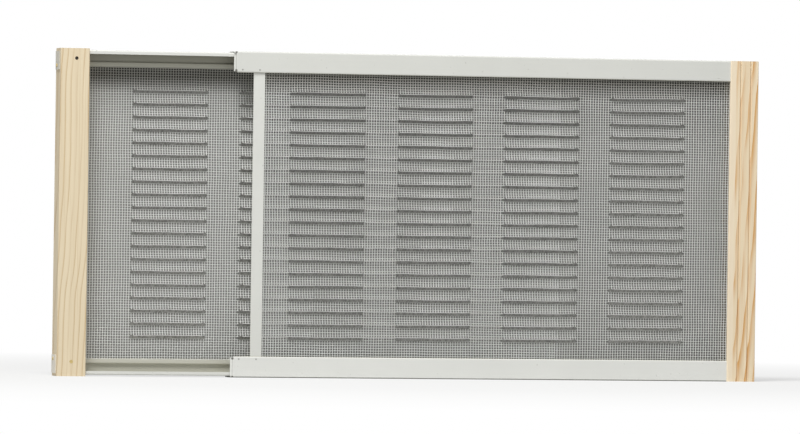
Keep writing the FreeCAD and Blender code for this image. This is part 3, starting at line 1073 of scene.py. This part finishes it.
@dataclass
class Camera:
    """The photograph's viewpoint: a long lens, a little to the left of square on and turned slightly."""

    azimuth: float = -14.127
    elevation: float = 0.0
    roll: float = 0.798
    distance: float = 5.5
    aim: Triple = (-0.00731, 0.0, 0.12674)
    pixels_per_metre: float = 1275.0
    image_width: float = 800.0
    sensor: float = 36.0
    clip_end: float = 100.0

    def build(self) -> None:
        """Make the scene's camera."""
        turn, lift, spin = (math.radians(angle) for angle in (self.azimuth, self.elevation, self.roll))
        back = Vector((math.sin(turn) * math.cos(lift), -math.cos(turn) * math.cos(lift), math.sin(lift)))
        level = Vector((math.cos(turn), math.sin(turn), 0.0))
        rise = back.cross(level)
        right = level * math.cos(spin) + rise * math.sin(spin)
        up = rise * math.cos(spin) - level * math.sin(spin)
        lens = bpy.data.cameras.new("viewpoint")
        lens.sensor_width = self.sensor
        lens.lens = self.sensor * self.pixels_per_metre * self.distance / self.image_width
        lens.clip_end = self.clip_end
        holder = bpy.data.objects.new("viewpoint", lens)
        place = Matrix((right, up, back)).transposed().to_4x4()
        place.translation = Vector(self.aim) + back * self.distance
        holder.matrix_world = place
        bpy.context.scene.collection.objects.link(holder)
        bpy.context.scene.camera = holder


# The screen
@dataclass
class FoldedRails:
    """The enamelled rails and end strip, kept as the CAD made them, with depths from the stiles' front."""

    back_rails: tuple[str, ...] = ("back_top_rail", "back_bottom_rail")
    front_rails: tuple[str, ...] = ("front_top_rail", "front_bottom_rail")
    strip: str = "front_end_strip"
    # The back rails' backing coats: the top rail's, and most of all its corner, painted darker than the
    # bottom's as shade under the flange.
    coats_and_shade: tuple[Colour, ...] = ((0.50, 0.495, 0.42, 1.0), (0.56, 0.555, 0.48, 1.0))
    shaded_corner_coats: tuple[Colour, ...] = ((0.24, 0.235, 0.185, 1.0), (0.47, 0.465, 0.395, 1.0))
    # The top rail's tab is darker than the bottom rail's.
    tabs: tuple[Colour, ...] = ((0.56, 0.525, 0.43, 1.0), (0.74, 0.69, 0.58, 1.0))
    # Painted light: the front top rail's tones are darker than the bottom rail's, for the light that reaches
    # the bottom rail more.
    painted_light_pales: tuple[Colour, ...] = ((0.67, 0.675, 0.635, 1.0), (0.74, 0.745, 0.71, 1.0))
    painted_light_dulls: tuple[Colour, ...] = ((0.61, 0.615, 0.575, 1.0), (0.69, 0.695, 0.66, 1.0))
    lip_middle: float = 3.7 * MM
    web_middle: float = 18.2 * MM
    back_flange_drop: float = 1.4 * MM
    face_middle: float = 1.2 * MM
    leaf_middle: float = 19.3 * MM
    front_flange_drop: float = 0.3 * MM
    turned_end: float = 2.8 * MM
    first_stakes: tuple[float, ...] = (6.6 * MM, 20.4 * MM)
    last_stake: float = 10.0 * MM
    stake_drop: float = 14.3 * MM
    stake_radius: float = 0.8 * MM
    stake_shade: float = 0.5
    corner_inset: float = 1.6 * MM
    corner_drops: tuple[float, ...] = (0.4 * MM, 14.8 * MM)
    corner_radius: float = 1.1 * MM
    corner_shade: float = 0.95
    tab_sheet: float = 0.3 * MM
    crease_inset: float = 1.3 * MM
    shaded_feet: tuple[float, ...] = (-1.0, 0.7 * MM)

    def dress(self) -> None:
        """Give the rails their enamel, with the backing coat between the middles of opposite walls."""
        low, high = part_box("left_stile")
        middle = (low.z + high.z) / 2
        channel = Fold(high.x, low.y + self.lip_middle, low.y + self.web_middle,
                       middle - self.back_flange_drop)
        for rail, coat_and_shade, shaded_corner_coat, tab in zip(self.back_rails, self.coats_and_shade, self.shaded_corner_coats, self.tabs):
            wear((rail,), Enamel(f"{rail}_enamel", middle, channel, tab_end=low.x + self.tab_sheet, tab=tab,
                                 coat_and_shade=coat_and_shade, shaded_corner_coat=shaded_corner_coat).build())
        free_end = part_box(self.front_rails[0])[0].x
        cover = Fold(free_end + self.turned_end, low.y + self.face_middle, low.y + self.leaf_middle,
                     middle - self.front_flange_drop)
        marks = self._marks(middle)
        for rail, pale, dull, foot in zip(self.front_rails, self.painted_light_pales, self.painted_light_dulls, self.shaded_feet):
            wear((rail,), Enamel(f"{rail}_enamel", middle, cover, marks=marks, pale=pale, dull=dull,
                                 shaded_foot=foot, crease=free_end + self.crease_inset).build())
        wear((self.strip,), Enamel("strip_enamel", middle).build())

    def _marks(self, middle: float) -> tuple[Mark, ...]:
        """Place painted shade in the front rails' stakes and at the corners of their free end.

        Args:
            middle: The screen's middle height.

        Returns:
            The marks.
        """
        low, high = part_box(self.front_rails[0])
        stakes = [low.x + stake for stake in self.first_stakes] + [high.x - self.last_stake]
        marks = [Mark(stake, middle - self.stake_drop, self.stake_radius, self.stake_shade)
                 for stake in stakes]
        marks += [Mark(low.x + self.corner_inset, middle - drop, self.corner_radius, self.corner_shade)
                  for drop in self.corner_drops]
        return tuple(marks)


@dataclass
class Stiles:
    """The two pine stiles and their nails, with shallow grooves down the front of the right stile."""

    left_heart: tuple[float, float] = (-120.0 * MM, 30.0 * MM)
    right_heart: tuple[float, float] = (130.0 * MM, 30.0 * MM)
    sap_width: float = 4.7 * MM
    shaded_skin: float = 0.4 * MM
    grooves: tuple[float, ...] = (0.37, 0.73)
    groove_width: float = 1.7 * MM
    groove_depth: float = 1.2 * MM
    overrun: float = 5.0 * MM
    seam: float = 0.001 * MM

    def dress(self) -> Object:
        """Give the stiles their wood and the nails their steel.

        Returns:
            The grooved stile.
        """
        left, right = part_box("left_stile")[0].x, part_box("right_stile")[0].x
        wear(("left_stile",), Pine(
            "pine_left", heart=(left + self.left_heart[0], self.left_heart[1]), lean=0.05, ring=4.2 * MM,
            early=(0.75, 0.64, 0.455, 1.0), band=(0.67, 0.555, 0.375, 1.0), late=(0.52, 0.355, 0.17, 1.0),
            late_share=0.4, late_power=1.6, late_depth=0.85, wander=11.0 * MM,
        ).build())
        wear(("right_stile",), Pine(
            "pine_right", heart=(right + self.right_heart[0], self.right_heart[1]), lean=0.085, ring=5.8 * MM,
            early=(0.83, 0.70, 0.50, 1.0), band=(0.72, 0.565, 0.365, 1.0), late=(0.60, 0.305, 0.08, 1.0),
            late_share=0.6, late_power=1.2, late_depth=1.1, wander=16.0 * MM, patch_start=0.36,
            sap_end=right + self.sap_width, shaded_face=right + self.shaded_skin,
            shaded_depth=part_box("front_screen")[1].y,
        ).build())
        low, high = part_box("left_stile_face_nails")
        face_steel = NailSteel("face_nail_steel", hole_shade_height=(low.z + high.z) / 2)
        wear(("left_stile_face_nails",), face_steel.build())
        wear(("left_stile_side_nails", "right_stile_side_nails"), NailSteel("side_nail_steel").build())
        return self._groove("right_stile", "front_panel")

    def _groove(self, node: str, body: str) -> Object:
        """Let a copy of a stile, with its grooves ploughed, stand for it.

        Args:
            node: The CAD stile, which already wears its wood.
            body: The body that it rides on.

        Returns:
            The copy.
        """
        piece = bpy.data.objects.new(f"grooved_{node}", frame["nodes"][node].data.copy())
        plough = self._plough(node)
        for part in (piece, plough):
            bpy.context.scene.collection.objects.link(part)
        weld = piece.modifiers.new("weld", "WELD")
        weld.merge_threshold = self.seam
        cut = piece.modifiers.new("cut", "BOOLEAN")
        cut.solver = "EXACT"
        cut.object = plough
        settle(piece)
        bpy.data.objects.remove(plough)
        piece.data.shade_flat()
        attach(piece, body)
        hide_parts(node)
        return piece

    def _plough(self, node: str) -> Object:
        """Make the long wedges that cut a stile's grooves.

        Args:
            node: The CAD stile.

        Returns:
            An object with one wedge for each groove, not yet linked.
        """
        low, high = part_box(node)
        points, faces = [], []
        for share in self.grooves:
            middle, base = low.x + share * (high.x - low.x), len(points)
            for end in (low.z - self.overrun, high.z + self.overrun):
                points += [(middle - self.groove_width, low.y - self.groove_depth, end),
                           (middle + self.groove_width, low.y - self.groove_depth, end),
                           (middle, low.y + self.groove_depth, end)]
            wedge = ((0, 2, 1), (3, 4, 5), (0, 1, 4, 3), (1, 2, 5, 4), (2, 0, 3, 5))
            faces += [tuple(base + corner for corner in face) for face in wedge]
        mesh = bpy.data.meshes.new("plough")
        mesh.from_pydata(points, [], faces)
        return bpy.data.objects.new("plough", mesh)


@dataclass
class WireScreens:
    """Both wire panels, with louvres set in from the rails' free ends and centred in the screen's height."""

    margin: float = 45.2 * MM
    back_warp_start: float = 3.53 * MM
    # Where the painted shadow of the top rail on the wire starts and ends, below the rail's foot.
    painted_shade_start: float = 17.0 * MM
    painted_shade_end: float = 4.0 * MM
    front_tones: Tones = (
        ((0.81, 0.815, 0.79, 1.0), (0.68, 0.685, 0.66, 1.0)),
        ((0.68, 0.685, 0.66, 1.0), (0.56, 0.565, 0.54, 1.0)),
    )
    back_tones: Tones = (
        ((0.84, 0.845, 0.82, 1.0), (0.72, 0.725, 0.70, 1.0)),
        ((0.73, 0.735, 0.71, 1.0), (0.62, 0.625, 0.60, 1.0)),
    )

    def build(self) -> list[Object]:
        """Weave both panels.

        Returns:
            All their pieces.
        """
        low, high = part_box("left_stile")
        pattern = Louvres()
        foot = (low.z + high.z - pattern.block_height) / 2
        head = foot + pattern.block_height
        front_end, back_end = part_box("front_top_rail")[0].x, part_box("back_top_rail")[1].x
        front = replace(pattern, first_x=front_end + self.margin, first_z=foot)
        back = replace(pattern, first_x=back_end - self.margin - pattern.block_width, first_z=foot)
        pieces = self._weave(WirePanel("front_screen", "front_panel", front), "front", self.front_tones,
                             ClosedWire("front_closed_wire", foot, head, back_end))
        pieces += self._weave(WirePanel("back_screen", "back_panel", back, self.back_warp_start), "back",
                              self.back_tones, ClosedWire("back_closed_wire", foot, head))
        return pieces

    def _weave(self, panel: WirePanel, label: str, tones: Tones, closed: ClosedWire) -> list[Object]:
        """Weave one panel.

        Args:
            panel: The panel.
            label: Start of its materials' names.
            tones: Bright and dark colour of each set of wires.
            closed: Finish of the louvres' undersides.

        Returns:
            Its pieces.
        """
        rail_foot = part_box("front_top_rail")[0].z
        finishes = {
            family: Zinc(f"{label}_{family.value}", rail_foot - self.painted_shade_start, rail_foot - self.painted_shade_end,
                         bright, dark).build()
            for family, (bright, dark) in zip(Family, tones)
        }
        return panel.build(finishes, closed.build())


def settle(piece: Object) -> None:
    """Turn what an object's modifiers make into its plain mesh.

    Args:
        piece: The object, which loses its modifiers.
    """
    depsgraph = bpy.context.evaluated_depsgraph_get()
    mesh = bpy.data.meshes.new_from_object(piece.evaluated_get(depsgraph), depsgraph=depsgraph)
    piece.modifiers.clear()
    piece.data = mesh
    mesh.name = piece.name


def wear(nodes: tuple[str, ...], finish: Material) -> None:
    """Give CAD nodes a material.

    Args:
        nodes: Names of the nodes.
        finish: The material.
    """
    for name in nodes:
        mesh = frame["nodes"][name].data
        mesh.materials.clear()
        mesh.materials.append(finish)
        LOG.info("%s wears %s", name, finish.name)


def corners(box: tuple[Vector, Vector]) -> list[list[float]]:
    """A box's two corners as plain lists."""
    return [list(corner) for corner in box]


def main() -> None:
    """Dress the frame, weave the wire and set the stage."""
    logging.basicConfig(level=logging.INFO, format="%(message)s")
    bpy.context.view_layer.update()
    bpy.context.scene.view_settings.view_transform = "Standard"
    FoldedRails().dress()
    for piece in (Stiles().dress(), *WireScreens().build()):
        LOG.info("%s: %d faces", piece.name, len(piece.data.polygons))
    Studio().build()
    Camera().build()


if __name__ == "__main__":
    main()
